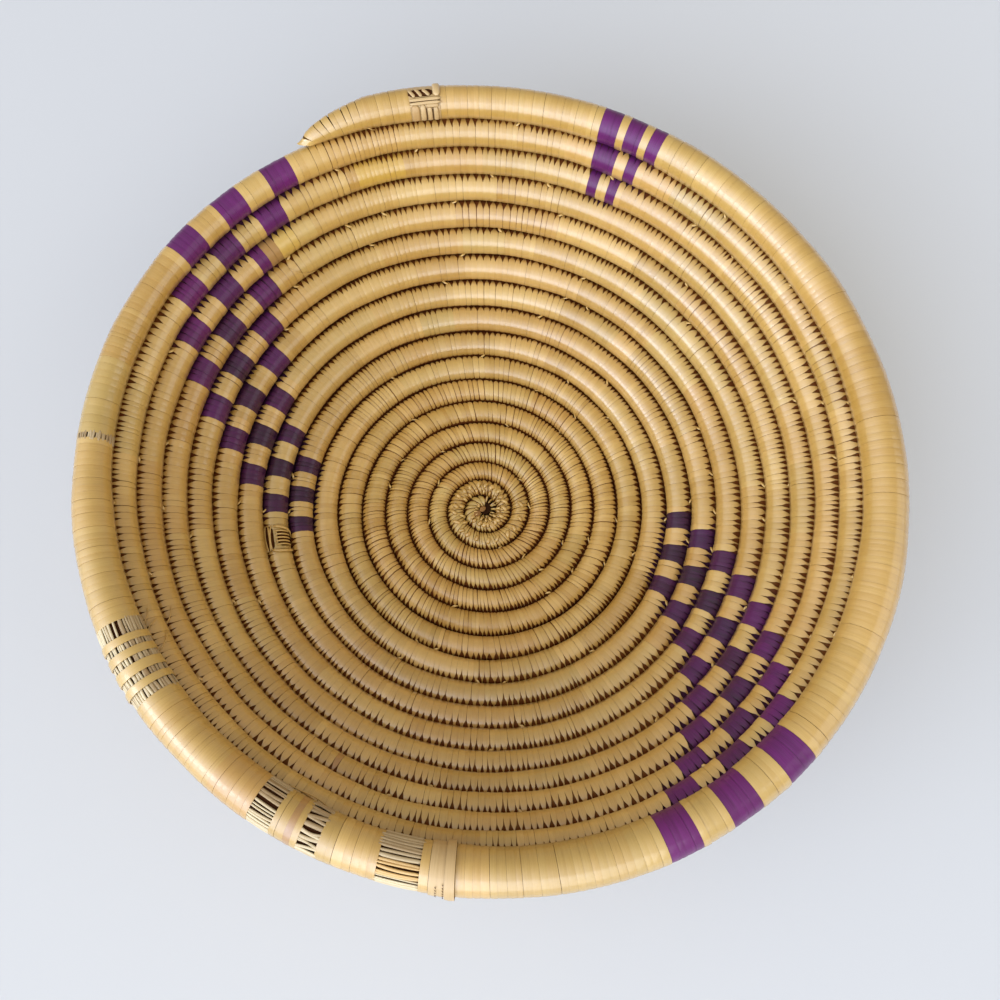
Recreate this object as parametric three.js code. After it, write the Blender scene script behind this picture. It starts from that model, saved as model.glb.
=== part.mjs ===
// Coiled straw basket: one long bundle of grass wound in a spiral from the middle of the base to
// the rim, wrapped round by round with straw strands, with dyed strands laid in as checks.
// Millimetres, +Z up. The basket stands on its flat base coils, in the middle of its own box.
import * as THREE from "three";
import { mergeVertices } from "three/addons/utils/BufferGeometryUtils.js";

// The spiral: how far out its centre line starts, and how many turns it makes.
const START_RADIUS = 2.5;
const START_TURN = 0.75;
const LAST_TURN = 17.33;

// The wrapped coil grows thicker from the middle of the base outwards.
const COIL_AT_START = 6.2;
const COIL_FULL = 13.7;
const COIL_GROWTH_TURNS = 5.2;

// The bowl: flat turns on the base, then a wall that steepens turn by turn.
const FLAT_TURNS = 5.7;
const STEEPEST_WALL = THREE.MathUtils.degToRad(98);
const WALL_CURVE_TURNS = 9.8;
const OUT_OF_ROUND = 0.022; // share of the rim's radius that is missing at 45 degrees

// The last turn is the rim: a thicker bundle, whose end thins out to a tail.
const RIM_EXTRA = 2.2;
const RIM_SWELLS = [0.12, 0.28]; // shares of the last turn over which the bundle gets thicker
const RIM_THINS = [0.55, 1];
const TAIL_LENGTH = 30;
const TAIL_TIP_SHARE = 0.25; // of the coil's thickness that is left at the tip

// The strands: dyed strands and ties lie in the straw wrap, and straw goes on under them.
const DYED_WALL = 0.7;
const TIE_WALL = 0.6;
const STRAW_UNDER = 0.5;
const THINNEST_SHARE = 0.35; // of half the coil, the most that the wrap takes near the middle
const PIECE_GAP = 0.3; // between pieces that touch on the real basket
const ROUND_GAP = 0.5; // between one round and the next

// Dyed checks, counted back from the tail: each row is one dyed strand on one round.
const BLOCKS_IN_ROW = 3;
const SWEEP_ROWS = 9;
const SWEEP_BLOCK = 12.2; // along the coil, on the rim
const SWEEP_BLOCK_INNER = 7.8; // on the innermost row
const LEFT_SWEEP_BACK = 0.99;
const LEFT_SWEEP_STEP = 0.985; // turns from one row to the next, inwards
const RIGHT_SWEEP_BACK = 0.512;
const RIGHT_SWEEP_STEP = 0.9868;
const TOP_PATCH_ROWS = 3;
const TOP_PATCH_BACK = 0.162;
const TOP_PATCH_STEP = 0.993;
const TOP_PATCH_BLOCK = 5.4;

// Two ties on the rim, counted back from the tail, and the knot in the middle.
const RIM_TIE_BACK = 0.597;
const RIM_TIE_WIDTH = 9;
const TAIL_TIE_BACK = 0.0617;
const TAIL_TIE_WIDTH = 13.6;
const KNOT_STRAND_RADIUS = 1;

// The rim's wrap takes a little more than the last turn; each other wrap takes one turn.
const RIM_WRAP_TURNS = 1.08;

// Facets. The section has six corners and is flat below, so that the base coils rest on flats.
const STEPS_PER_TURN = 16;
const STEPS_NEAR_MIDDLE = 8;
const FEW_STEPS_UNTIL = 2;
const FLAT_SHARE = 0.55; // half of the flat's width, as a share of half the coil
const SECTION = [
  [1, 0],
  [FLAT_SHARE, 1],
  [-FLAT_SHARE, 1],
  [-1, 0],
  [-FLAT_SHARE, -1],
  [FLAT_SHARE, -1],
];
const BACK_FACET = 4; // between the two lowest corners
const SHORTEST_STEP = 0.15;
const WALK_STEP = 0.002; // turns, for adding up the profile

const STRAW = { color: 0xc9a468, roughness: 0.5, metalness: 0 };
const GRASS = { color: 0x8a7038, roughness: 0.9, metalness: 0 };
const DYED = { color: 0x4d1c55, roughness: 0.45, metalness: 0 };
const TIE = { color: 0xb8935a, roughness: 0.6, metalness: 0 };

// The coil's thickness and the wall's slope at a turn.
const coilThickness = (turn) =>
  COIL_FULL - (COIL_FULL - COIL_AT_START) * Math.exp(-turn / COIL_GROWTH_TURNS);
const wallSlope = (turn) =>
  STEEPEST_WALL * (1 - Math.exp(-Math.max(0, turn - FLAT_TURNS) / WALL_CURVE_TURNS));

// The profile is walked outwards once: radius and height of the centre line at each small step.
const profile = [];
for (let i = 0, radius = START_RADIUS, height = 0; i * WALK_STEP <= LAST_TURN + 1; i++) {
  const turn = i * WALK_STEP;
  profile.push({ radius, height });
  radius += coilThickness(turn) * Math.cos(wallSlope(turn)) * WALK_STEP;
  height += coilThickness(turn) * Math.sin(wallSlope(turn)) * WALK_STEP;
}
const profileAt = (turn) => profile[Math.round(turn / WALK_STEP)];

// The share of a turn that a length along the coil takes.
const turnsFor = (length, turn) => length / (2 * Math.PI * profileAt(turn).radius);

// The rim swells over its turn, and the tail thins out over its last stretch.
const rimShare = (turn) => THREE.MathUtils.clamp(turn - (LAST_TURN - 1), 0, 1);
const eased = (value, [low, high]) => THREE.MathUtils.smoothstep(value, low, high);
const rimBulge = (turn) => {
  const share = rimShare(turn);
  return RIM_EXTRA * eased(share, RIM_SWELLS) * (1 - eased(share, RIM_THINS));
};
const tailTurns = turnsFor(TAIL_LENGTH, LAST_TURN);
const tailShare = (turn) => {
  const left = THREE.MathUtils.clamp((LAST_TURN - turn) / tailTurns, 0, 1);
  return TAIL_TIP_SHARE + (1 - TAIL_TIP_SHARE) * Math.sqrt(left);
};
const halfCoil = (turn) => (coilThickness(turn) / 2 + rimBulge(turn)) * tailShare(turn);

// The section at a turn: its centre, the way up the wall, and the way into the bowl. A coil that
// is thicker or thinner than its round's share is moved up or down the wall, so that it still
// lies on the round below. No corner of it goes below the base coils.
function sectionAt(turn) {
  const { radius, height } = profileAt(turn);
  const slope = wallSlope(turn);
  const angle = 2 * Math.PI * turn;
  const lift = halfCoil(turn) - coilThickness(turn) / 2;
  const oval = 1 - (OUT_OF_ROUND * Math.sin(2 * angle) * turn) / LAST_TURN;
  const seat = halfCoil(Math.min(turn, FLAT_TURNS));
  const reachDown = halfCoil(turn) * (Math.cos(slope) + FLAT_SHARE * Math.sin(slope));
  const out = new THREE.Vector3(Math.cos(angle), Math.sin(angle), 0);
  const up = new THREE.Vector3(0, 0, 1);
  const along = out.clone().multiplyScalar(Math.cos(slope)).addScaledVector(up, Math.sin(slope));
  const inward = out.clone().multiplyScalar(-Math.sin(slope)).addScaledVector(up, Math.cos(slope));
  const centre = out
    .clone()
    .multiplyScalar((radius + lift * Math.cos(slope)) * oval)
    .addScaledVector(up, Math.max(height + lift * Math.sin(slope) + seat, reachDown));
  return { centre, along, inward };
}

// The path's own steps. Between two of them every surface runs straight, so layers stay parallel.
const stepSize = (turn) =>
  turn < FEW_STEPS_UNTIL ? 1 / STEPS_NEAR_MIDDLE : 1 / STEPS_PER_TURN;
const stepBelow = (turn) => {
  const size = stepSize(turn);
  return Math.floor(turn / size + 1e-9) * size;
};

// A corner of the section at a step, some depth below the coil's surface.
function cornerAtStep(turn, depth, [across, through]) {
  const { centre, along, inward } = sectionAt(turn);
  const half = halfCoil(turn) - depth(turn);
  return centre
    .clone()
    .addScaledVector(along, across * (half - ROUND_GAP / 2))
    .addScaledVector(inward, through * half);
}

function cornerAt(turn, depth, spot) {
  const low = stepBelow(turn);
  const high = low + stepSize(low);
  const start = cornerAtStep(low, depth, spot);
  return start.lerp(cornerAtStep(high, depth, spot), (turn - low) / (high - low));
}

// A ring of corners; depths has one depth for each corner, or one for all of them.
const ringAt = (turn, depths) =>
  SECTION.map((spot, i) => cornerAt(turn, Array.isArray(depths) ? depths[i] : depths, spot));

// Every step of the path between two turns, with both ends.
function stationsBetween(from, to) {
  const stations = [from];
  const shortest = turnsFor(SHORTEST_STEP, from);
  for (let turn = stepBelow(from) + stepSize(from); turn < to - shortest; turn += stepSize(turn)) {
    if (turn > from + shortest) stations.push(turn);
  }
  stations.push(to);
  return stations;
}

// A surface is put together from bands between rings of the same number of corners.
class Skin {
  positions = [];

  triangle(...points) {
    for (const point of points) this.positions.push(...point.toArray());
  }

  band(here, next, facets = here.keys()) {
    for (const j of facets) {
      const k = (j + 1) % here.length;
      this.triangle(here[k], here[j], next[j]);
      this.triangle(here[k], next[j], next[k]);
    }
  }

  cap(ring) {
    for (let j = 1; j < ring.length - 1; j++) this.triangle(ring[0], ring[j], ring[j + 1]);
  }

  // Rings that touch leave triangles with no area, which are dropped.
  geometry() {
    const loose = new THREE.BufferGeometry();
    loose.setAttribute("position", new THREE.Float32BufferAttribute(this.positions, 3));
    const geometry = mergeVertices(loose, 1e-4);
    const index = geometry.index.array;
    const kept = [];
    for (let i = 0; i < index.length; i += 3) {
      const [a, b, c] = index.subarray(i, i + 3);
      if (a !== b && b !== c && c !== a) kept.push(a, b, c);
    }
    geometry.setIndex(kept);
    return geometry;
  }
}

// A solid run of the coil between two turns.
function solidRun(from, to, depth) {
  const skin = new Skin();
  const rings = stationsBetween(from, to).map((turn) => ringAt(turn, depth));
  for (let i = 1; i < rings.length; i++) skin.band(rings[i - 1], rings[i]);
  skin.cap(rings[0]);
  skin.cap(rings[rings.length - 1].toReversed());
  return skin.geometry();
}

// A hollow run: out along the outer rings and back along the inner ones.
function hollowRun(outer, inner) {
  const skin = new Skin();
  const rings = [...outer, ...inner.toReversed()];
  for (let i = 0; i < rings.length; i++) skin.band(rings[i], rings[(i + 1) % rings.length]);
  return skin.geometry();
}

// Depths below the coil's surface at which each layer starts and ends.
const surface = () => 0;
const dyedInside = () => DYED_WALL;
const tieInside = () => TIE_WALL;
const underDyed = () => DYED_WALL + PIECE_GAP;
const underTie = () => TIE_WALL + PIECE_GAP;
const fullWrapWall = Math.max(DYED_WALL, TIE_WALL) + PIECE_GAP + STRAW_UNDER;
const wrapInside = (turn) => Math.min(fullWrapWall, THINNEST_SHARE * halfCoil(turn));
const coreSurface = (turn) => wrapInside(turn) + PIECE_GAP;

// Depths by corner: straw in full, straw low under a dyed block or a tie, and straw that is low
// only on the back, where the idle dyed strand lies between two blocks.
const inFull = SECTION.map(() => surface);
const lowUnderDyed = SECTION.map(() => underDyed);
const lowUnderTie = SECTION.map(() => underTie);
const lowOnBack = SECTION.map((_, i) =>
  i === BACK_FACET || i === BACK_FACET + 1 ? underDyed : surface,
);

// One dyed row: where its blocks start and end, in turns, with gaps as long as the blocks.
function rowBlocks(start, count, blockLength) {
  const block = turnsFor(blockLength, start);
  return Array.from({ length: count }, (_, i) => ({
    from: start + 2 * i * block,
    to: start + (2 * i + 1) * block,
  }));
}

const dyedRows = [];
for (let row = 0; row < SWEEP_ROWS; row++) {
  const inwards = (row / (SWEEP_ROWS - 1)) ** 2;
  const length = THREE.MathUtils.lerp(SWEEP_BLOCK, SWEEP_BLOCK_INNER, inwards);
  const left = LAST_TURN - LEFT_SWEEP_BACK - row * LEFT_SWEEP_STEP;
  const right = LAST_TURN - RIGHT_SWEEP_BACK - row * RIGHT_SWEEP_STEP;
  dyedRows.push({ name: `dyed_left_${row + 1}`, blocks: rowBlocks(left, BLOCKS_IN_ROW, length) });
  dyedRows.push({ name: `dyed_right_${row + 1}`, blocks: rowBlocks(right, BLOCKS_IN_ROW, length) });
}
for (let row = 0; row < TOP_PATCH_ROWS; row++) {
  const start = LAST_TURN - TOP_PATCH_BACK - row * TOP_PATCH_STEP;
  const count = row === 0 ? BLOCKS_IN_ROW : BLOCKS_IN_ROW - 1;
  dyedRows.push({ name: `dyed_top_${row + 1}`, blocks: rowBlocks(start, count, TOP_PATCH_BLOCK) });
}

// A dyed strand: a ring of strand at each block, joined along the back by the idle strand.
function dyedStrand(blocks) {
  const skin = new Skin();
  const facets = [...SECTION.keys()];
  const sides = facets.filter((j) => j !== BACK_FACET);
  blocks.forEach(({ from, to }, i) => {
    const stations = stationsBetween(from, to);
    const outer = stations.map((turn) => ringAt(turn, surface));
    const inner = stations.map((turn) => ringAt(turn, dyedInside));
    const last = stations.length - 1;
    for (let s = 0; s < last; s++) {
      skin.band(outer[s], outer[s + 1]);
      skin.band(inner[s + 1], inner[s]);
    }
    skin.band(inner[0], outer[0], i > 0 ? sides : facets);
    skin.band(outer[last], inner[last], i < blocks.length - 1 ? sides : facets);
  });
  for (let i = 1; i < blocks.length; i++) {
    const strips = stationsBetween(blocks[i - 1].to, blocks[i].from).map((turn) => {
      const outer = ringAt(turn, surface).slice(BACK_FACET);
      const inner = ringAt(turn, dyedInside).slice(BACK_FACET);
      return [...outer, ...inner.toReversed()];
    });
    for (let s = 1; s < strips.length; s++) skin.band(strips[s - 1], strips[s]);
  }
  return skin.geometry();
}

// A tie is a band of strand round the rim, let into the wrap.
const ties = [
  { name: "rim_tie", back: RIM_TIE_BACK, width: RIM_TIE_WIDTH },
  { name: "tail_tie", back: TAIL_TIE_BACK, width: TAIL_TIE_WIDTH },
].map(({ name, back, width }) => {
  const from = LAST_TURN - back;
  return { name, from, to: from + turnsFor(width, from) };
});

function tieBand({ from, to }) {
  const stations = stationsBetween(from, to);
  return hollowRun(
    stations.map((turn) => ringAt(turn, surface)),
    stations.map((turn) => ringAt(turn, tieInside)),
  );
}

// Where the wrap's surface changes on the way round: each mark has the depths from there on.
const marks = [];
for (const { blocks } of dyedRows) {
  blocks.forEach(({ from, to }, i) => {
    const gap = turnsFor(PIECE_GAP, from);
    marks.push({ turn: from - gap, after: lowUnderDyed });
    marks.push({ turn: to + gap, after: i < blocks.length - 1 ? lowOnBack : inFull });
  });
}
for (const { from, to } of ties) {
  const gap = turnsFor(PIECE_GAP, from);
  marks.push({ turn: from - gap, after: lowUnderTie });
  marks.push({ turn: to + gap, after: inFull });
}
marks.sort((a, b) => a.turn - b.turn);

// The straw wrap between two turns, low wherever another strand lies on it.
function strawWrap(from, to) {
  const outer = [];
  let here = from;
  let depths = inFull;
  for (const mark of marks.filter(({ turn }) => turn > from && turn < to)) {
    outer.push(...stationsBetween(here, mark.turn).map((turn) => ringAt(turn, depths)));
    here = mark.turn;
    depths = mark.after;
  }
  outer.push(...stationsBetween(here, to).map((turn) => ringAt(turn, depths)));
  const inner = stationsBetween(from, to).map((turn) => ringAt(turn, wrapInside));
  return hollowRun(outer, inner);
}

// The wraps, counted from the middle: each changes over to the next at the same place.
const wraps = [];
for (let end = LAST_TURN; end > START_TURN; ) {
  const isRim = end === LAST_TURN;
  const start = Math.max(START_TURN, isRim ? end - RIM_WRAP_TURNS : end - 1);
  const gap = turnsFor(PIECE_GAP / 2, start);
  const from = start === START_TURN ? start : start + gap;
  wraps.unshift({ isRim, from, to: isRim ? end : end - gap });
  end = start;
}

// The start knot is a small ring of strand that fills the hole in the middle.
function startKnot() {
  const edge = stationsBetween(START_TURN, START_TURN + 1).map((turn) =>
    cornerAt(turn, surface, [-1, 0]),
  );
  const centre = new THREE.Box3().setFromPoints(edge).getCenter(new THREE.Vector3());
  const reach = edge.slice(1).map((point, i) => {
    const side = new THREE.Line3(edge[i], point);
    return side.closestPointToPoint(centre, true, new THREE.Vector3()).distanceTo(centre);
  });
  const ringRadius = Math.min(...reach) - PIECE_GAP - KNOT_STRAND_RADIUS;
  const ring = new THREE.TorusGeometry(ringRadius, KNOT_STRAND_RADIUS, 6, 12);
  ring.deleteAttribute("normal");
  ring.deleteAttribute("uv");
  ring.translate(...centre.toArray());
  return mergeVertices(ring, 1e-4);
}

const basket = new THREE.Group();
basket.name = "coiled_straw_basket";

function addPiece(name, geometry, look) {
  const material = new THREE.MeshStandardMaterial({ ...look, name, flatShading: true });
  const mesh = new THREE.Mesh(geometry, material);
  mesh.name = name;
  basket.add(mesh);
}

const coreEnd = LAST_TURN - turnsFor(PIECE_GAP, LAST_TURN);
addPiece("grass_core", solidRun(START_TURN, coreEnd, coreSurface), GRASS);
addPiece("start_knot", startKnot(), STRAW);
wraps.forEach(({ isRim, from, to }, i) => {
  const name = isRim ? "rim_wrap" : `straw_wrap_${String(i + 1).padStart(2, "0")}`;
  addPiece(name, strawWrap(from, to), STRAW);
});
for (const { name, blocks } of dyedRows) addPiece(name, dyedStrand(blocks), DYED);
for (const tie of ties) addPiece(tie.name, tieBand(tie), TIE);

// The basket is moved to the middle of its own box, standing on z = 0.
const box = new THREE.Box3().setFromObject(basket);
const middle = box.getCenter(new THREE.Vector3());
basket.position.set(-middle.x, -middle.y, -box.min.z);

// The least gap between one turn and the next, on the corners and the middles of the rings' sides.
function leastGap(from, to, depth) {
  const rings = stationsBetween(from, to).map((turn) => {
    const ring = ringAt(turn, depth);
    const middles = ring.map((point, i) => point.clone().lerp(ring[(i + 1) % ring.length], 0.5));
    return { turn, points: [...ring, ...middles] };
  });
  let least = Infinity;
  for (const a of rings) {
    for (const b of rings) {
      if (b.turn - a.turn < 0.6 || b.turn - a.turn > 1.4) continue;
      for (const p of a.points) for (const q of b.points) least = Math.min(least, p.distanceTo(q));
    }
  }
  return least.toFixed(2);
}
const size = box.getSize(new THREE.Vector3()).toArray();
console.log(`grass_core: least gap to itself ${leastGap(START_TURN, coreEnd, coreSurface)} mm`);
console.log(`wraps: least gap from round to round ${leastGap(START_TURN, LAST_TURN, surface)} mm`);
console.log(`basket: ${size.map((n) => n.toFixed(1)).join(" x ")} mm`);

export default basket;
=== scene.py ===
# %% [markdown]
# # A coiled straw basket
#
# The basket is one long bundle of grass stems, wound in a spiral from the middle of the base to the
# rim. A flat straw strand is wrapped round the bundle, stitch by stitch, and each stitch also bites
# into the round before. Purple strands take the straw's place in short blocks.
#
# The packed model gives the sizes. Here the strands are laid over the same spiral one by one, so
# that the light finds every stitch, tooth and groove.

# %% Open the fixed frame
import math

import bmesh
import bpy
import numpy as np
from mathutils import Matrix


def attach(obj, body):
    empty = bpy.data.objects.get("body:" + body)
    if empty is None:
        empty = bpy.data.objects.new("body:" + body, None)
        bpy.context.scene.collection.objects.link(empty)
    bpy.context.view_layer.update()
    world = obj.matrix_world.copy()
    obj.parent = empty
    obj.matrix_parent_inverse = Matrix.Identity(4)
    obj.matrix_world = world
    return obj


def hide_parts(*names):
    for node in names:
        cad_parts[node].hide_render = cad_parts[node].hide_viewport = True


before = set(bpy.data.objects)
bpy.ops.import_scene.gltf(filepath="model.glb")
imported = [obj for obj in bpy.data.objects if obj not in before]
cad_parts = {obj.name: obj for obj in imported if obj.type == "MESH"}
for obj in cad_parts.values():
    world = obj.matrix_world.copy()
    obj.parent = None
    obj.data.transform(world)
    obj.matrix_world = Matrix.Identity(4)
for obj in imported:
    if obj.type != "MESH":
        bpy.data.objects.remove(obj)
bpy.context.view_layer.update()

MM = 0.001  # the script works in millimetres and writes metres
chance = np.random.default_rng(11)
scene = bpy.context.scene

# %% [markdown]
# ## Where the eye stands
#
# The photograph was taken from above and a little in front, quite near, so the wall on the far side
# looks wider than the wall on the near side. A camera could be turned to face the middle, but a
# picture's middle is seldom the thing's middle. So the camera is set off from the middle of the
# base along its own axes, by distances that were found from the grooves in the photograph.

# %% Set up the camera
SPIRAL_MIDDLE = np.array([-2.34, 0.25, 0.0])  # from the middle of the basket's box
BASE_COIL_HEIGHT = 5.6
EYE_ELEVATION = math.radians(74)
EYE_DISTANCE = 480
EYE_ACROSS, EYE_UP = 7.8, 4.6  # along the picture's sides
SENSOR = LENS = 36

eye_right = np.array([1, 0, 0])
eye_up = np.array([0, math.sin(EYE_ELEVATION), math.cos(EYE_ELEVATION)])
eye_back = np.array([0, -math.cos(EYE_ELEVATION), math.sin(EYE_ELEVATION)])
eye_target = SPIRAL_MIDDLE + [0, 0, BASE_COIL_HEIGHT]
eye = eye_target + EYE_DISTANCE * eye_back + EYE_ACROSS * eye_right + EYE_UP * eye_up

camera_data = bpy.data.cameras.new("camera")
camera_data.lens = LENS
camera_data.sensor_width = SENSOR
camera = bpy.data.objects.new("camera", camera_data)
camera.location = eye * MM
camera.rotation_euler = (math.pi / 2 - EYE_ELEVATION, 0, 0)
scene.collection.objects.link(camera)
scene.camera = camera
print("camera at", [round(c, 3) for c in camera.location])

# %% [markdown]
# ## The spiral
#
# Every strand needs to know where the bundle runs. The bundle's middle line could be a curve object,
# but the stitches need more than a line: at each place they need the bundle's thickness, the way up
# the wall and the way into the bowl. So the spiral is written as a few formulas of the turn, which
# counts the rounds from the middle. The wall is flat for the first rounds and then steepens.

# %% Describe the spiral
START_RADIUS = 2.5
LAST_TURN = 17.33
COIL_AT_START = 6.2
COIL_FULL = 13.7
COIL_GROWTH_TURNS = 5.2
FLAT_TURNS = 5.7
STEEPEST_WALL = math.radians(98)
WALL_CURVE_TURNS = 9.8
OUT_OF_ROUND = 0.022
RIM_EXTRA = 2.2
RIM_SWELLS, RIM_THINS = (0.12, 0.28), (0.55, 1.0)  # shares of the last round
TAIL_LENGTH = 30
TAIL_TIP_SHARE = 0.25
LUMPS = ((0.12, 67.0), (0.08, 41.0))  # mm of height, and the length along the coil that one takes
WALK_STEP = 0.002
RIM_START = LAST_TURN - 1


def eased(low, high, value):
    """Nought below low, one above high, and a smooth rise between them."""
    share = np.clip((value - low) / (high - low), 0, 1)
    return share * share * (3 - 2 * share)


def between(pair, share):
    """The value that lies a share of the way from the first of a pair to the second."""
    return pair[0] + (pair[1] - pair[0]) * share


def coil_thickness(turn):
    return COIL_FULL - (COIL_FULL - COIL_AT_START) * np.exp(-turn / COIL_GROWTH_TURNS)


def wall_slope(turn):
    return STEEPEST_WALL * (1 - np.exp(-np.maximum(0, turn - FLAT_TURNS) / WALL_CURVE_TURNS))


def walked(start, speed):
    return start + np.concatenate([[0], np.cumsum(speed * WALK_STEP)[:-1]])


walk = np.arange(0, LAST_TURN + 1, WALK_STEP)
walk_radius = walked(START_RADIUS, coil_thickness(walk) * np.cos(wall_slope(walk)))
walk_height = walked(0, coil_thickness(walk) * np.sin(wall_slope(walk)))
walk_length = walked(0, 2 * math.pi * walk_radius)


def radius_at(turn):
    return np.interp(turn, walk, walk_radius)


def length_at(turn):
    return np.interp(turn, walk, walk_length)


def turn_at(length):
    return np.interp(length, walk_length, walk)


def turns_for(length, turn):
    return length / (2 * math.pi * radius_at(turn))


def half_coil(turn):
    on_rim = turn - RIM_START
    bulge = RIM_EXTRA * eased(*RIM_SWELLS, on_rim) * (1 - eased(*RIM_THINS, on_rim))
    left = np.clip((LAST_TURN - turn) / turns_for(TAIL_LENGTH, LAST_TURN), 0, 1)
    return (coil_thickness(turn) / 2 + bulge) * between((TAIL_TIP_SHARE, 1), np.sqrt(left))


def lumps(turn):
    """The bundle is a little uneven along its length."""
    length = length_at(turn)
    return sum(size * np.sin(2 * math.pi * length / wave) for size, wave in LUMPS)


def on_coil(turn, around, lift):
    """Points on the coil: around is 0 towards the next round and a quarter turn on the crown."""
    slope, angle, half = wall_slope(turn), 2 * math.pi * turn, half_coil(turn)
    lift_up = half - coil_thickness(turn) / 2
    oval = 1 - OUT_OF_ROUND * np.sin(2 * angle) * turn / LAST_TURN
    out = np.stack([np.cos(angle), np.sin(angle), np.zeros_like(angle)], axis=-1)
    up = np.array([0, 0, 1])
    along = out * np.cos(slope)[:, None] + up * np.sin(slope)[:, None]
    inward = -out * np.sin(slope)[:, None] + up * np.cos(slope)[:, None]
    flat_radius = (radius_at(turn) + lift_up * np.cos(slope)) * oval
    seat = half_coil(np.minimum(turn, FLAT_TURNS))
    height = np.interp(turn, walk, walk_height) + lift_up * np.sin(slope) + seat
    centre = out * flat_radius[:, None] + up * np.maximum(height, half)[:, None] + SPIRAL_MIDDLE
    reach = (half + lift)[:, None]
    return centre + reach * (np.cos(around)[:, None] * along + np.sin(around)[:, None] * inward)


print("coil length, m:", round(float(length_at(LAST_TURN)) * MM, 2))

# %% [markdown]
# ## The checks and the other marks along the coil
#
# A dyed row is one purple strand on one round: three blocks with straw between them. Two sweeps of
# rows start at the rim and step back a little on each round inwards, and a small patch of narrow
# blocks sits near the top. The steps are regular on the real basket, so each sweep is a start, a
# step and a block length. The windows are worn places on the rim, where the wrap has gone and the
# stems show. They follow no rule, so their angles are read off the photograph.

# %% List the marks
ROW_BLOCKS = 3
SWEEP_ROWS = 9
LEFT_START, LEFT_STEP, LEFT_STEP_INNER = 122.4, 4.42, 6.87  # degrees
LEFT_INNER_FROM = 5  # the row from which the steps are longer
RIGHT_START, RIGHT_STEP, RIGHT_STEP_GROWTH = 293.9, 3.9, 0.1
LEFT_BLOCK, LEFT_SHORTENS = (12.4, 7.3), 2.2  # mm on the rim and on the last row, and how late
RIGHT_BLOCK, RIGHT_SHORTENS = (11.9, 8.0), 2
TOP_ROWS = (  # degrees
    ((60.1, 62.2), (63.5, 66.2), (67.5, 70.6)),
    ((62.6, 64.6), (66.6, 70.6)),
    ((64.8, 66.6), (68.5, 70.4)),
)
RIM_TIE = (263.9, 267.2)
TAIL_TIE = (96.6, 101.4)
SMALL_WINDOWS = ((207.0, 209.4), (210.5, 211.5), (212.7, 213.8), (215.3, 216.4), (217.5, 219.0))
LARGE_WINDOWS = ((239.2, 242.6), (246.6, 249.2), (257.2, 262.7))
RIM_GAP = (177.35, 178.15)
WRAP_CHANGE = 0.25  # of a turn: where one round's wrap hands over to the next
COIL_START = 0.22


def at_degrees(whole_turns, degrees):
    return whole_turns + degrees / 360


def row_blocks(start, block_length):
    block = turns_for(block_length, start)
    return [(start + 2 * i * block, start + (2 * i + 1) * block) for i in range(ROW_BLOCKS)]


dyed_rows = {}
for row in range(SWEEP_ROWS):
    inwards = row / (SWEEP_ROWS - 1)
    inner_rows = max(0, row - LEFT_INNER_FROM)
    degrees = LEFT_START + LEFT_STEP * (row - inner_rows) + LEFT_STEP_INNER * inner_rows
    length = between(LEFT_BLOCK, inwards**LEFT_SHORTENS)
    dyed_rows[f"dyed_left_{row + 1}"] = row_blocks(at_degrees(16 - row, degrees), length)
    degrees = RIGHT_START + RIGHT_STEP * row + RIGHT_STEP_GROWTH * row**2
    length = between(RIGHT_BLOCK, inwards**RIGHT_SHORTENS)
    dyed_rows[f"dyed_right_{row + 1}"] = row_blocks(at_degrees(16 - row, degrees), length)
for row, blocks in enumerate(TOP_ROWS):
    dyed_rows[f"dyed_top_{row + 1}"] = [[at_degrees(17 - row, d) for d in block] for block in blocks]

rim_tie = [at_degrees(16, d) for d in RIM_TIE]
tail_tie = [at_degrees(17, d) for d in TAIL_TIE]
small_windows = [[at_degrees(16, d) for d in pair] for pair in SMALL_WINDOWS]
large_windows = [[at_degrees(16, d) for d in pair] for pair in LARGE_WINDOWS]
rim_gap = tuple(at_degrees(16, d) for d in RIM_GAP)
windows = [*small_windows, *large_windows, rim_gap]
wraps = {"rim_wrap": (16 + WRAP_CHANGE, LAST_TURN)}
for i in range(16, 1, -1):
    wraps[f"straw_wrap_{i:02d}"] = (i - 1 + WRAP_CHANGE, i + WRAP_CHANGE)
wraps["straw_wrap_01"] = (COIL_START, 1 + WRAP_CHANGE)
print(len(dyed_rows), "dyed rows,", len(wraps), "wraps,", len(windows), "worn places")

# %% [markdown]
# ## Where each stitch goes
#
# A maker keeps the stitches even, and a block of purple is a whole number of stitches. One pitch
# for the whole coil would cut the blocks anywhere, so the marks cut the coil into stretches, and
# each stretch takes the number of stitches that suits it best. Stitches are narrow near the middle
# and wider on the wall. Hands tire and strands differ: single stitches are a little uneven, and in
# a long stretch the pitch drifts slowly as well.

# %% Space the stitches
PITCH = (1.65, 2.75)  # mm, in the middle and on the wall
PITCH_TURNS = (1.5, 12.5)
PITCH_RIM = 2.9
UNEVEN = 0.17  # of a stitch
SWAY, SWAY_LENGTH = 1.3, 55  # how far the drift goes, and how long one is, in stitches


def pitch_at(turn):
    return PITCH_RIM if turn > RIM_START else between(PITCH, eased(*PITCH_TURNS, turn))


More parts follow.
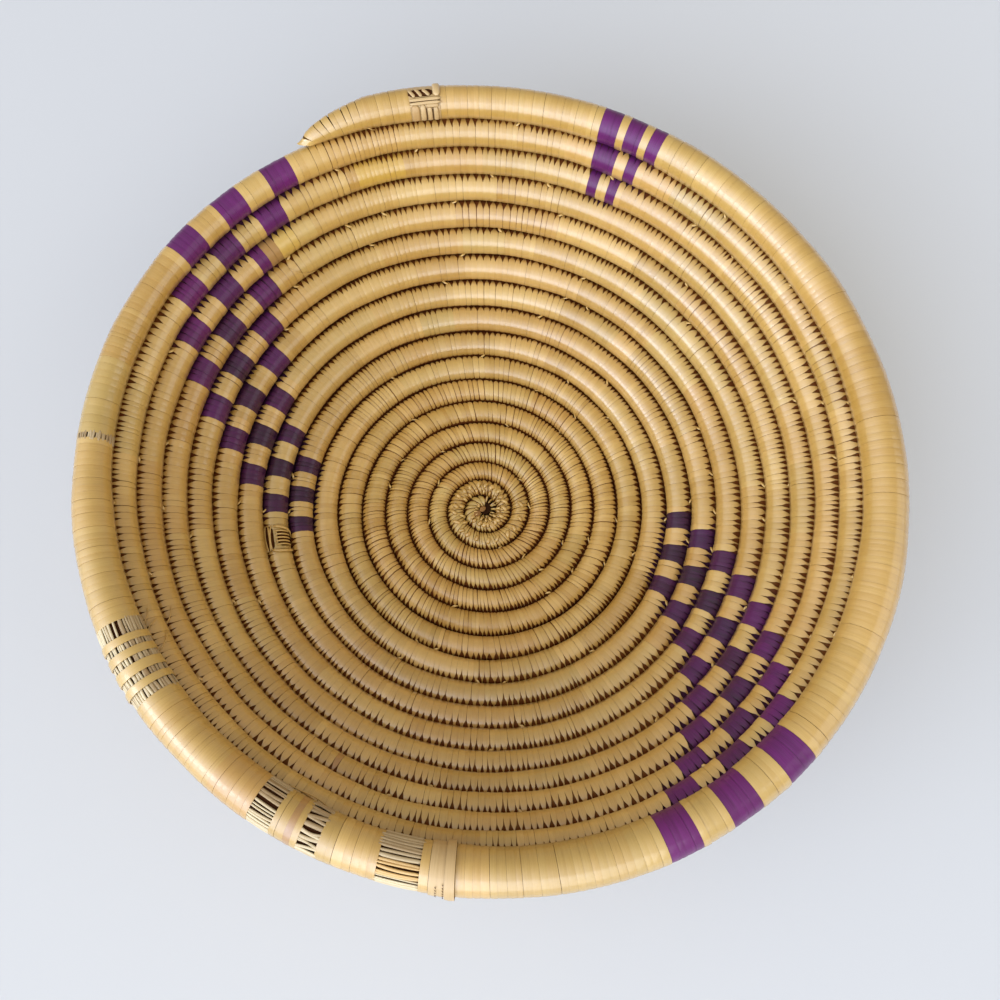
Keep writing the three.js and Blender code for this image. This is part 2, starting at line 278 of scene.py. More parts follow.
spans = [b for blocks in dyed_rows.values() for b in blocks] + windows + [rim_tie, tail_tie]
marks = sorted({t for span in [*spans, *wraps.values()] for t in span})
edges = [marks[0]]
for a, b in zip(marks, marks[1:]):
    count = max(1, round(float(length_at(b) - length_at(a)) / pitch_at((a + b) / 2)))
    ends = np.arange(1, count + 1)
    drift = SWAY * np.sin(2 * math.pi * round(count / SWAY_LENGTH) * ends / count)
    ends = ends + chance.uniform(-UNEVEN, UNEVEN, count) + drift
    ends[-1] = count
    edges.extend(turn_at(between((length_at(a), length_at(b)), ends / count)))
edges = np.array(edges)
stitch_turn = (edges[1:] + edges[:-1]) / 2
stitch_width = edges[1:] - edges[:-1]
stitches = len(stitch_turn)
print(stitches, "stitches of", round(float(np.diff(length_at(edges)).mean()), 2), "mm on average")

# %% [markdown]
# A strand is used up after some stitches and the next is spliced on, so neighbours share a batch.
# Each batch has a tone and a hue of its own and lies more or less tightly packed, and its first stitch is
# paler. Random tones for single stitches alone would look like noise. In the base the stitches are looser
# and differ more. How loose a batch lies also sets the painted shade along its seams, and on the wall the
# seams are narrowest, and their painted shade faintest, on the near side.

# %% Sort the stitches into batches
BATCH_SHORTEST, BATCH_LONGEST = 5, 21
BASE_TURNS = (5.5, 9.0)  # where the base ends and the wall begins
OWN_TONE = (0.4, 1.3)  # how much single stitches differ, on the wall and in the base
BATCH_START_TONE = 1.1
BATCH_HUE, OWN_HUE = 0.9, 0.2
LOOSE_POWER = (3, 0.8)  # on the wall few batches are loose, in the base many
NEAR_SIDE, NEAR_TIGHTER = math.radians(300), 0.6
BASE_LOOSER = 1.5
SEAM = (-0.05, 0.12)  # mm left between neighbours on the crown, where they lie tight and loose
MIDDLE_SEAM, MIDDLE_TURNS = 0.14, (2.0, 4.5)  # more in the first rounds
WIDE_SEAM, WIDE_SEAM_SHARE = 0.2, 0.025
RIM_SEAM, RIM_LOOSENESS = -0.03, 0.2


def near_side(turn):
    """One on the near side of the wall, right of its middle, and nought opposite."""
    return 0.5 + 0.5 * np.cos(2 * math.pi * turn - NEAR_SIDE)


batch = np.zeros(stitches, int)
batch_starts = []
at = 0
while at < stitches:
    size = chance.integers(BATCH_SHORTEST, BATCH_LONGEST)
    batch[at : at + size] = len(batch_starts)
    batch_starts.append(at)
    at += size
batches = len(batch_starts)
in_base = 1 - eased(*BASE_TURNS, stitch_turn)
on_rim = stitch_turn > RIM_START
own_tone = between(OWN_TONE, in_base) * chance.normal(0, 1, stitches)
own_tone[batch_starts] += BATCH_START_TONE
stitch_tone = chance.normal(0, 1, batches)[batch] + own_tone
stitch_hue = BATCH_HUE * chance.normal(0, 1, batches)[batch] + OWN_HUE * chance.normal(0, 1, stitches)
looseness = chance.uniform(0, 1, batches)[batch] ** between(LOOSE_POWER, in_base)
looseness *= between((1 - NEAR_TIGHTER * near_side(stitch_turn), BASE_LOOSER), in_base)
stitch_seam = between(SEAM, looseness * chance.uniform(0.3, 1.4, stitches))
stitch_seam += MIDDLE_SEAM * (1 - eased(*MIDDLE_TURNS, stitch_turn))
stitch_seam[chance.uniform(0, 1, stitches) < WIDE_SEAM_SHARE] = WIDE_SEAM
# this looseness also sets how strong the painted shade along a strand's edges is
stitch_looseness = np.clip(0.25 + looseness * chance.uniform(0.5, 1.5, stitches), 0, 1)
stitch_seam[on_rim] = RIM_SEAM
stitch_looseness[on_rim] *= RIM_LOOSENESS
stitch_chance = chance.uniform(0, 1, (stitches, 6))
print(batches, "batches, the seams on the crown are", round(float(stitch_seam.mean()), 3), "mm on average")

# %% [markdown]
# ## Which stitches are dyed, stained or raised
#
# Painting the stitches by hand would be possible, but a stretch of the coil is easier to name: a
# stitch belongs to every stretch that its middle lies in.

# %% Find the stitches of each stretch


def within(spans):
    """True for every stitch whose middle lies in one of the spans."""
    return sum((stitch_turn > a) & (stitch_turn < b) for a, b in spans).astype(bool)


dyed = {name: within(blocks) for name, blocks in dyed_rows.items()}
is_dyed = np.any(list(dyed.values()), axis=0)
not_straw = is_dyed | within([*windows, rim_tie, tail_tie])
print(int(is_dyed.sum()), "dyed stitches,", int((~not_straw).sum()), "of straw")

# %% [markdown]
# The dye took unevenly: the rim's blocks are a bright purple, the inner rows are nearly black, and
# the middle block of a row is often the darkest. Two splashes of yellow and two short marks of
# reddish brown stain the straw.

# %% Tone the dye and place the stains
DYE_AT_RIM, DYE_FADES, DYE_MIDDLE_BLOCK = 1.9, 0.5, -1.7
DYE_OWN_TONE, DYE_HUE = 0.3, 0.4
YELLOW_STAINS = ((15.288, 15.313), (14.354, 14.372))
BROWN_STAINS = ((16.6795, 16.6825), (13.676, 13.682))

for name, blocks in dyed_rows.items():
    row = int(name[-1]) - 1
    for i, block in enumerate(blocks):
        chosen = within([block])
        middle = DYE_MIDDLE_BLOCK if i == 1 and 0 < row and "top" not in name else 0
        noise = DYE_OWN_TONE * chance.normal(0, 1, stitches)[chosen]
        stitch_tone[chosen] = DYE_AT_RIM - DYE_FADES * row + middle + noise
        stitch_hue[chosen] = DYE_HUE * chance.normal(0, 1)
stitch_stain = 1.0 * within(YELLOW_STAINS) - 1.0 * within(BROWN_STAINS)
print("stained stitches:", int(np.abs(stitch_stain).sum()))

# %% [markdown]
# Some stitches lie higher or lower than the rest: dyed strands are thinner than straw ones, the straw next
# to a dyed block stands a little proud of it, a tie lies over the wrap, and the strips between the small
# worn places are doubled. Each stitch gets a height of its own for that. The proud straw beside a dyed
# block is also painted paler, as a painted highlight, and the doubled strips are paler too.

# %% Raise and sink some stitches
DYED_HEIGHT = -0.08  # mm above the wrap, as all these heights
BESIDE_DYED_HEIGHT, BESIDE_DYED_HIGHLIGHT = 0.1, 1.5
TIE_HEIGHT, TIE_END_HEIGHT = 0.35, 1.3
DOUBLED_HEIGHT, DOUBLED_TONE = 0.6, 1.0

stitch_height = np.where(is_dyed, DYED_HEIGHT, 0.0)
beside_dyed = ~not_straw & (np.roll(is_dyed, 1) | np.roll(is_dyed, -1))
stitch_height[beside_dyed] = BESIDE_DYED_HEIGHT
# painted highlight: the proud straw beside a dyed block is painted paler
stitch_tone[beside_dyed] += BESIDE_DYED_HIGHLIGHT
doubled = within([(small_windows[0][0], small_windows[-1][1])]) & ~not_straw
stitch_height[doubled] = DOUBLED_HEIGHT
stitch_tone[doubled] += DOUBLED_TONE
stitch_height[within([rim_tie])] = TIE_HEIGHT
stitch_height[np.flatnonzero(within([rim_tie]))[-1]] = TIE_END_HEIGHT
stitch_height[within([tail_tie])] = DYED_HEIGHT
print("raised stitches:", int((stitch_height > 0).sum()))

# %% [markdown]
# ## One stitch, and a row of them
#
# A stitch is a flat strand bent once round the bundle. It could be a flat strip with a thickness,
# but a closed ring is simpler and has no ends to hide: a thin section, hardly crowned, spun round.
# Its long edges are marked sharp, so that it shades as a ribbon and not as a cord.

# %% Make the stitch ring
RIBBON_EDGE = 0.49
RIBBON_SECTION = ((-0.5, 1), (-RIBBON_EDGE, 2), (0, 2.3), (RIBBON_EDGE, 2), (0.5, 1))
HALF_ANGLES = (9, 20, 33, 50, 75, 105, 140, 180)  # closer together where the teeth are
RING_ANGLES = [-a for a in reversed(HALF_ANGLES)] + [0, *HALF_ANGLES]
RING_STEPS = 2 * len(HALF_ANGLES)
EVEN_ANGLES = np.linspace(-180, 180, RING_STEPS + 1)


def new_mesh(name, bm):
    mesh = bpy.data.meshes.new(name)
    bm.to_mesh(mesh)
    bm.free()
    return mesh


def new_piece(name, mesh):
    piece = bpy.data.objects.new(name, mesh)
    scene.collection.objects.link(piece)
    return piece


def stitch_ring():
    bm = bmesh.new()
    corners = [bm.verts.new((x, 0, r)) for x, r in RIBBON_SECTION]
    sides = [bm.edges.new((corners[i - 1], corners[i])) for i in range(len(corners))]
    bmesh.ops.spin(
        bm, geom=corners + sides, cent=(0, 0, 0), axis=(1, 0, 0), angle=2 * math.pi,
        steps=RING_STEPS, use_merge=True,
    )
    for edge in bm.edges:
        a, b = (v.co.x for v in edge.verts)
        edge.smooth = not (abs(a - b) < 1e-4 and abs(a) > RIBBON_EDGE / 2)
    return new_mesh("stitch_ring", bm)


ring_shape = stitch_ring()
print("one stitch:", len(ring_shape.polygons), "faces")

# %% [markdown]
# Thousands of single objects would be slow, and the basket has a piece for each round, not for each
# stitch. So the array modifier sets out as many copies as a piece needs, side by side, and they
# become one mesh. Each copy's own number then tells which stitch it is, and its vertices are
# carried to their place on the coil. The values that the materials need, such as the strand's tone,
# are stored on the vertices.

# %% Set out copies and settle them
COPY_STEP = 2.0


def corners_of(mesh):
    points = np.empty(len(mesh.vertices) * 3)
    mesh.vertices.foreach_get("co", points)
    return points.reshape(-1, 3)


def row_of_copies(name, shape, count):
    """A piece with copies of a shape set out along x, and its vertices as an array."""
    single = new_piece(name + "_single", shape)
    array = single.modifiers.new("row", "ARRAY")
    array.count = count
    array.use_relative_offset = False
    array.use_constant_offset = True
    array.constant_offset_displace = (COPY_STEP, 0, 0)
    bpy.context.view_layer.update()
    mesh = bpy.data.meshes.new_from_object(single.evaluated_get(bpy.context.evaluated_depsgraph_get()))
    bpy.data.objects.remove(single)
    mesh.name = name
    return new_piece(name, mesh), corners_of(mesh)


def settle(piece, points, values, close=False):
    """Moves the vertices to points in mm, stores the values and turns the faces outwards."""
    mesh = piece.data
    mesh.vertices.foreach_set("co", (points * MM).ravel())
    for name, value in values.items():
        if value.ndim == 2:
            layer = mesh.attributes.new(name, "FLOAT_VECTOR", "POINT")
            layer.data.foreach_set("vector", value.astype(np.float32).ravel())
        else:
            layer = mesh.attributes.new(name, "FLOAT", "POINT")
            layer.data.foreach_set("value", value.astype(np.float32))
    bm = bmesh.new()
    bm.from_mesh(mesh)
    if close:
        bmesh.ops.remove_doubles(bm, verts=bm.verts, dist=1e-6)
        bmesh.ops.holes_fill(bm, edges=[e for e in bm.edges if e.is_boundary], sides=0)
    bmesh.ops.recalc_face_normals(bm, faces=bm.faces)
    bm.to_mesh(mesh)
    bm.free()
    mesh.shade_smooth()
    return piece


print("copies stand", COPY_STEP, "apart until they are carried to the coil")

# %% [markdown]
# ## The teeth between two rounds
#
# On the crown the strand has its full width, and neighbours meet in a hair-thin seam. Towards the
# next round it is squeezed to a point between that round's own stitches. That makes the row of
# teeth with dark gaps which draws the spiral. Notches could be cut out of a smooth coil, but then
# the strands wouldn't end there, so here each strand's own width changes as it goes round. The
# teeth are longest on the near side of the wall. On the rim nothing follows, so the stitches keep
# their width. In the middle the strand is squeezed on both sides and looks like a grain of rice.

# %% Squeeze a strand to its teeth
TOOTH_TIP, TOOTH_TIP_DYED = 0.26, 0.75  # the share of the width that is left at the point
TOOTH_BASE = 48  # degrees from the groove up to where the strand has its full width
TOOTH_WALL = (41, 50)  # the same on the wall, on the far side and on the near side
TOOTH_LUCK = (0.75, 1.25)
TOOTH_FULL = (1.05, 1.5)  # above 1 the point is reached before the groove; far and near side
TOOTH_CURVE = (0.8, 1.15)  # in the base and on the wall
TOOTH_ROUNDS = (4, 11)
INNER_TOOTH = math.radians(38)
INNER_NOTCH, INNER_NOTCH_BASE, INNER_NOTCH_GRAIN = 0.16, 0.5, 0.7  # everywhere, and added to it
INNER_NOTCH_MOST = 0.85
GRAIN_TURNS = (0.6, 2.3)
RIM_FADE = 0.025  # turns over which the teeth fade out before the rim


def has_next(turn):
    """One where another round follows on the outside, and nought on the rim."""
    return np.clip((RIM_START - turn) / RIM_FADE, 0, 1)


def grain_share(turn):
    """One in the first round, where the stitches look like grains, and nought from the third."""
    return 1 - eased(*GRAIN_TURNS, turn)


def kept_width(turn, around, dyed_strand, length_luck, tip_luck):
    """The share of its width that a strand keeps at each place round the coil."""
    near, outer = near_side(turn), eased(*TOOTH_ROUNDS, turn)
    base, grain = 1 - eased(*BASE_TURNS, turn), grain_share(turn)
    tooth = np.radians(between((TOOTH_BASE, between(TOOTH_WALL, near)), outer))
    tooth = tooth * between(TOOTH_LUCK, length_luck)
    tip = np.where(dyed_strand, TOOTH_TIP_DYED, TOOTH_TIP * (0.5 + tip_luck))
    up_the_tooth = (1 - np.cos(around)) / (1 - np.cos(tooth))
    closing = np.clip(between(TOOTH_FULL, near) * (1 - up_the_tooth), 0, 1)
    kept = 1 - has_next(turn) * (1 - tip) * closing ** between(TOOTH_CURVE, outer)
    inner_reach = INNER_TOOTH * (1 + 0.15 * base + grain)
    inner = np.clip(1 - (math.pi - np.abs(around)) / inner_reach, 0, 1)
    notch = INNER_NOTCH + INNER_NOTCH_BASE * base + INNER_NOTCH_GRAIN * grain
    return kept * (1 - np.minimum(INNER_NOTCH_MOST, notch) * inner)


print("a tooth on the wall keeps", TOOTH_TIP, "of the strand's width at its point")

# %% [markdown]
# ## Laying the stitches
#
# No strand lies quite straight. In the middle of the base and on the tail they lean over, so that
# their tops are behind their feet, and everywhere one lies a little higher than its neighbour.

# %% Lay stitches on the coil
STRAND = 0.3  # thickness, in mm
STRAND_GRAIN = 1.5  # how much thicker the first grains are
LEAN_MIDDLE, LEAN_TURNS = 0.5, (3, 9)
LEAN_TAIL = 0.9
LEAN_CHANCE = (0.05, 0.18)  # of a stitch, on the wall and in the base
SLIMMER_GRAIN = 0.22
SLANT = (-0.01, 0.11)  # mm that one edge of a strand lies above the other
UNEVEN_HEIGHT, UNEVEN_GRAIN = 0.1, 4
RUN_ON = (0.1, 0.004)  # turns that a strand may lie before the coil's start and past its end


def leaning(turn, around, luck):
    """How far a strand lies from its own stitch's middle, in stitches."""
    tail = eased(LAST_TURN - turns_for(TAIL_LENGTH, LAST_TURN), LAST_TURN, turn)
    lean = LEAN_MIDDLE * (1 - eased(*LEAN_TURNS, turn)) + LEAN_TAIL * tail
    return lean * np.cos(around) + between(LEAN_CHANCE, 1 - eased(*BASE_TURNS, turn)) * (luck - 0.5)


def lay_stitches(name, chosen):
    index = np.flatnonzero(chosen)
    piece, points = row_of_copies(name, ring_shape, len(index))
    copy = np.rint(points[:, 0] / COPY_STEP).astype(int)
    stitch = index[copy]
    turn, width = stitch_turn[stitch], stitch_width[stitch]
    length_luck, tip_luck, lean_luck, high_luck, slant_luck, slim_luck = stitch_chance[stitch].T
    pitch = length_at(turn + width / 2) - length_at(turn - width / 2)
    across = points[:, 0] - copy * COPY_STEP
    around = np.degrees(np.arctan2(points[:, 1], points[:, 2]))
    around = np.radians(np.interp(around, EVEN_ANGLES, RING_ANGLES))
    above = np.hypot(points[:, 1], points[:, 2]) - 2

    grain = grain_share(turn)
    across_kept = across * kept_width(turn, around, is_dyed[stitch], length_luck, tip_luck)
    slim = 1 - stitch_seam[stitch] / pitch - SLIMMER_GRAIN * grain * slim_luck
    place = turn + width * (across_kept * slim + leaning(turn, around, lean_luck))
    place = np.clip(place, COIL_START - RUN_ON[0], LAST_TURN + RUN_ON[1])
    slant = between(SLANT, slant_luck) * across_kept * (1 - grain)
    high = UNEVEN_HEIGHT * (high_luck - 0.5) * (1 + UNEVEN_GRAIN * grain)
    thick = above * STRAND * (1 + STRAND_GRAIN * grain)
    lift = thick + slant + high + stitch_height[stitch] + lumps(turn)

    # painted shade towards the grooves: a strand darkens towards the next round, where one follows, and
    # towards the round before
    down, up = eased(0.75, 1.0, np.cos(around)), eased(0.6, 1.0, -np.cos(around))
    # painted shade in the seams: a strand darkens towards its long edges, more in loose batches and
    # towards the groove
    edge = np.abs(across) * 2 - 0.3 * (1 - stitch_looseness[stitch]) + 0.12 * np.cos(around)
    fibres = [across * pitch + 50 * length_luck, 6 * np.cos(around), 6 * np.sin(around)]
    values = {
        "tone": stitch_tone[stitch],
        "hue": stitch_hue[stitch],
        "stain": stitch_stain[stitch],
        "groove": has_next(turn) * down + up,
        "worn": in_base[stitch],
        "edge": edge,
        "strand": np.stack(fibres, axis=-1),
    }
    return settle(piece, on_coil(place, around, lift), values)


straw_pieces = []
for name, (start, end) in wraps.items():
    chosen = within([(start, end)]) & ~not_straw
    straw_pieces.append((lay_stitches(f"stitches_{name}", chosen), name))
dyed_pieces = [(lay_stitches(f"stitches_{name}", chosen), name) for name, chosen in dyed.items()]
tie_pieces = [
    (lay_stitches("binding_rim_tie", within([rim_tie])), "rim_tie"),
    (lay_stitches("binding_tail_tie", within([tail_tie])), "tail_tie"),
]
print("straw pieces:", len(straw_pieces), "dyed pieces:", len(dyed_pieces))

# %% [markdown]
# ## The bundle inside
#
# Between the teeth one looks down on the bundle itself, so it can't be left out. It is a long
# tube along the same spiral. A grid with one side as long as the coil makes it: the grid is rolled
# up, its seam is merged and its two ends are closed. Its two sides swell a little past the
# strands, into the rounds beside it, so that no light comes through between the rounds.

# %% Roll the bundle
CORE_STEPS_PER_TURN = 90
CORE_SIDES = 20
CORE_DEPTH = (0.7, 0.9)  # mm under the wrap; deeper on the rim, where bare stems lie over it
CORE_SWELL, CORE_SWELL_POWER = 0.94, 14  # mm, and how narrow the swelling is
CORE_RIM_SHADE = 1.25  # past 1 the grass is painted nearly black, as painted shade between the bare stems
CORE_END = 0.01  # turns that it stops short of the tail


def dye_along(turn):
    """One where a dyed row runs at a turn, its idle strand between the blocks included."""
    runs = [(blocks[0][0], blocks[-1][1]) for blocks in dyed_rows.values()]
    return sum((turn > a) & (turn < b) for a, b in runs).astype(float)


def grass_bundle():
    steps = int((LAST_TURN - COIL_START) * CORE_STEPS_PER_TURN)
    bm = bmesh.new()
    bmesh.ops.create_grid(bm, x_segments=steps, y_segments=CORE_SIDES, size=0.5)
    piece = new_piece("grass_bundle", new_mesh("grass_bundle", bm))
    share = corners_of(piece.data) + 0.5
    turn = between((COIL_START, LAST_TURN - CORE_END), share[:, 0])
    around = 2 * math.pi * share[:, 1]
    side = np.cos(around)
    on_rim = 1.0 * (turn > RIM_START)
    depth = np.minimum(between(CORE_DEPTH, on_rim), 0.3 * half_coil(turn))
    meets = np.where(side > 0, has_next(turn), 1) * np.minimum(1, half_coil(turn) / 5)
    lift = CORE_SWELL * meets * side**CORE_SWELL_POWER - depth + lumps(turn)
    values = {
        "dye": np.maximum(dye_along(turn + 1) * eased(0.3, 0.8, side), dye_along(turn)),
        # painted shade: dark towards both grooves, and nearly black all round on the rim
        "groove": np.maximum(np.abs(side), CORE_RIM_SHADE * on_rim),
        "strand": np.stack([6 * side, 6 * np.sin(around), length_at(turn)], axis=-1),
    }
    return settle(piece, on_coil(turn, around, lift), values, close=True)


bundle = grass_bundle()
print("bundle:", len(bundle.data.polygons), "faces")

# %% [markdown]
# ## Stems and loose strips
#
# Where the wrap is worn away the stems lie bare, a splice leaves a short strand end in the groove,
# and a few strips lie over the wrap. All of these are slim rods or flat strips that lie on the
# coil. They could be curve objects with a bevel, but a row of copies is lighter and stays a mesh:
# each rod has a start, an end, a bow to one side and a rise in its middle.

# %% Make rods and strips that lie on the coil
ROD_SIDES = 6
ROD_CUTS = 7
ROD_TAPER = 0.5


def rod_shape():
    """A closed rod from 0 to 1 along x, cut into short lengths so that it can bend."""
    bm = bmesh.new()
    bmesh.ops.create_cone(bm, cap_ends=True, segments=ROD_SIDES, radius1=1, radius2=1, depth=1)
    long_edges = [e for e in bm.edges if abs(e.verts[0].co.z - e.verts[1].co.z) > 0.5]
    bmesh.ops.subdivide_edges(bm, edges=long_edges, cuts=ROD_CUTS, use_grid_fill=True)
    bmesh.ops.rotate(bm, verts=bm.verts, cent=(0, 0, 0), matrix=Matrix.Rotation(math.pi / 2, 3, "Y"))
    bmesh.ops.translate(bm, verts=bm.verts, vec=(0.5, 0, 0))
    return new_mesh("rod", bm)


def rod(start, end, lift, width, thickness, bow=0.0, rise=0.0, tone=0.0, hue=0.0):
    """Start and end are (turn, degrees around); lift is the height above the wrap at each."""
    return (*start, *end, *lift, width, thickness, bow, rise, tone, hue)


# The last value darkens every rod of the piece with painted shade; nought leaves them as they are.
def lay_rods(name, rods, groove=0.0):
    piece, points = row_of_copies(name, rod_shape(), len(rods))
    copy = np.floor((points[:, 0] + 0.5) / COPY_STEP).astype(int)
    values = np.array(rods).T[:, copy]
    turn0, around0, turn1, around1, lift0, lift1, width, thickness, bow, rise, tone, hue = values
    share = points[:, 0] - copy * COPY_STEP
    half = half_coil((turn0 + turn1) / 2)
    run = length_at(turn1) - length_at(turn0)
    climb = half * np.radians(around1 - around0)
    size = np.hypot(run, climb)
    hump = 4 * share * (1 - share)
    narrow = 1 - ROD_TAPER * (1 - hump) ** 4
    sideways = bow * hump + width / 2 * narrow * points[:, 1]
    turn = turn_at(length_at(turn0) + share * run - climb / size * sideways)
    around = np.radians(around0) + (share * climb + run / size * sideways) / half
    lift = lift0 + (lift1 - lift0) * share + rise * hump + thickness / 2 * narrow * points[:, 2]
    fibres = np.stack([3 * points[:, 1] + 9 * copy, 3 * points[:, 2], share * size], axis=-1)
    flat = np.zeros_like(share)
    extra = {"tone": tone, "hue": hue, "stain": flat, "edge": flat, "groove": flat + groove,
             "worn": flat + 0.5, "strand": fibres}
    return settle(piece, on_coil(turn, around, lift), extra)


# %% [markdown]
# The stems in the worn places run along the rim, side by side, some crossing a little. Towards the bowl
# they lie close, as they were pressed by the wrap, and are painted a darker tan as painted shade; on the
# outside they are pale, with gaps where the bundle is painted nearly black as shade, and the widest gap
# lies just past the top of the rim.

# %% Lay the bare stems
STEM_SPAN = (-80, 150)  # degrees round the rim, from the outside over the top to the bowl
OUTSIDE_SPAN = (-158, -82)  # the rest of the outside, which shows from the side only
STEM_STEP = (6, 12)  # degrees
STEM_COVER_OUTSIDE, STEM_COVER_INSIDE = (0.7, 1.05), (0.95, 1.15)  # widths, in steps
STEM_MARGIN = 1.2  # mm that a stem runs on under the wrap
STEM_THICKNESS = 0.8
WIDEST_GAP = (31, 33)
GOLDEN_SPAN, GOLDEN_HUE = (-12, 26), 3.0


def stems(window, outer_tone, shaded_inner_tone, mess=1.5, golden=False, span=STEM_SPAN, draw=chance):
    start, end = window
    margin = turns_for(STEM_MARGIN, start)
    degree = math.radians(1) * half_coil(start)
    rods = []
    at = span[0]
    while at < span[1]:
        step = draw.uniform(*STEM_STEP)
        # the stems towards the bowl lie closer and get the darker tone of painted shade
        inside = at > WIDEST_GAP[0]
        cover = draw.uniform(*(STEM_COVER_INSIDE if inside else STEM_COVER_OUTSIDE))
        if not WIDEST_GAP[0] < at < WIDEST_GAP[1]:
            cross = draw.normal(0, mess, 2)
            deep = draw.uniform(-0.55, -0.3)
            is_golden = golden and GOLDEN_SPAN[0] < at < GOLDEN_SPAN[1]
            rods.append(rod(
                (start - margin, at + cross[0]), (end + margin, at + cross[1]), (deep, deep),
                step * degree * cover, STEM_THICKNESS, bow=draw.normal(0, 0.12 * mess),
                rise=draw.uniform(-0.05, 0.12),
                tone=(shaded_inner_tone if inside else outer_tone) + draw.normal(0, 0.6),
                hue=GOLDEN_HUE if is_golden else 0.0,
            ))
        at += step
    return rods


stem_rods = [r for window in small_windows for r in stems(window, 1.9, -1.2)]
stem_rods += stems(large_windows[0], 1.8, -1.5)
stem_rods += stems(large_windows[1], 0.9, -1.6, mess=4.0)
stem_rods += stems(large_windows[2], 1.3, -0.9, golden=True)
stem_rods += stems(rim_gap, -0.9, -1.2)
outside_draw = np.random.default_rng(12)
for window in windows:
    stem_rods += stems(window, 1.2, -1.5, span=OUTSIDE_SPAN, draw=outside_draw)
bare_stems = lay_rods("bare_stems", stem_rods)
print(len(stem_rods), "bare stems")

# %% [markdown]
# A splice ends in a short pale hook that lies in the groove. Where a new batch starts, about half
# the places show one. Drawing each place by hand would give the same look, but the batches already
# know where a strand begins.

# %% Lay the spliced ends
END_SHARE = 0.5
END_FROM_TURN = 1.2
END_LENGTH = (1.2, 2.8)  # mm along the coil
END_FOOT, END_TOP = (24, 36), (4, 14)  # degrees from the groove
END_LIFT = (0.2, 1.0)

end_rods = []
for first in batch_starts:
    turn = stitch_turn[first]
    if turn < END_FROM_TURN or turn > RIM_START or chance.uniform() > END_SHARE:
        continue
    out = turns_for(chance.uniform(*END_LENGTH), turn) * chance.choice([-1, 1])
    end_rods.append(rod(
        (turn, chance.uniform(*END_FOOT)), (turn + out, chance.uniform(*END_TOP)), END_LIFT,
        chance.uniform(0.9, 1.3), 0.5, bow=chance.uniform(0.3, 0.9) * np.sign(out), rise=0.4,
        tone=chance.uniform(1.4, 2.8),
    ))
splice_ends = lay_rods("splice_ends", end_rods)
print(len(end_rods), "spliced ends")

# %% [markdown]
# A few fibres have split off and stand up, and three narrow strips are twisted together beside one
# of the windows. They are single rods, placed where the photograph shows them.

# %% Lay the loose fibres
LOOSE_FIBRES = (
    rod((13.352, 140), (13.366, 62), (0.2, 0.9), 0.4, 0.3, bow=1.4, rise=0.4, tone=1.8),
    rod((15.570, 60), (15.577, 25), (0.1, 0.8), 0.35, 0.3, bow=0.8, rise=0.5, tone=0.6),
    rod((15.576, 75), (15.581, 30), (0.1, 0.9), 0.35, 0.3, bow=-0.7, rise=0.4, tone=1.2),
    rod((15.582, 95), (15.590, 40), (0.1, 0.7), 0.4, 0.3, bow=0.6, rise=0.5, tone=0.8),
    rod((14.570, 60), (14.578, 20), (0.1, 0.7), 0.35, 0.3, bow=0.8, rise=0.4, tone=0.8),
    rod((17.302, 120), (17.2985, 150), (0.2, 0.6), 0.5, 0.25, bow=0.3, rise=0.4, tone=1.6),
)
TWISTED_STRIPS = (
    rod((16.672, 118), (16.688, 150), (0.1, 0.3), 1.3, 0.5, bow=0.9, rise=0.5, tone=-0.6),
    rod((16.676, 122), (16.690, 142), (0.3, 0.2), 1.0, 0.5, bow=-0.5, rise=0.7, tone=-0.2),
    rod((16.668, 135), (16.686, 160), (0.0, 0.2), 0.8, 0.4, bow=0.4, rise=0.4, tone=0.3),
)
loose_fibres = lay_rods("loose_fibres", LOOSE_FIBRES + TWISTED_STRIPS)
print(len(LOOSE_FIBRES), "loose fibres and", len(TWISTED_STRIPS), "twisted strips")

# %% [markdown]
# In the frayed place low on the wall, four strands have come loose and run along the coil in waves,
# next to thin strips that two wide ones frame. A loop lays each group.

# %% Lay the frayed strands
FRAYED = (9.521, 9.541)  # turns, from and to
start, end = FRAYED
frayed_rods = [
    rod((start, 14 + 13 * i), (end, 22 + 8 * i), (0.35, 0.35), 0.75, 0.6, bow=0.45 * (-1) ** i,
        rise=0.35, tone=1.2 if i % 2 else 0.2)
    for i in range(4)
]
frayed_rods += [
    rod((start + 0.0048 + 0.0027 * i, 66), (start + 0.0052 + 0.0027 * i, 142), (0.45, 0.1), 0.85, 0.5,
        bow=0.15, rise=0.25, tone=1.2)
    for i in range(5)
]
frayed_rods += [
    rod((start + 0.001, 62), (start + 0.008, 160), (0.5, 0.3), 1.5, 0.5, bow=1.0, rise=0.5, tone=1.2),
    rod((end - 0.001, 44), (end - 0.0005, 158), (0.5, 0.2), 1.4, 0.5, bow=-1.1, rise=0.4, tone=1.4),
]
frayed_patch = lay_rods("frayed_patch", frayed_rods)
print(len(frayed_rods), "frayed strands")

# %% [markdown]
# Near the rim's tail a tie was mended with strips that cross the wrap. Two long ones and a short one
# run along the rim, three lean over the outside beside a wide one, and four stand next to each
# other towards the bowl. They could be stitches, but these go round the whole bundle, so rods that
# follow any two places on the coil are used.

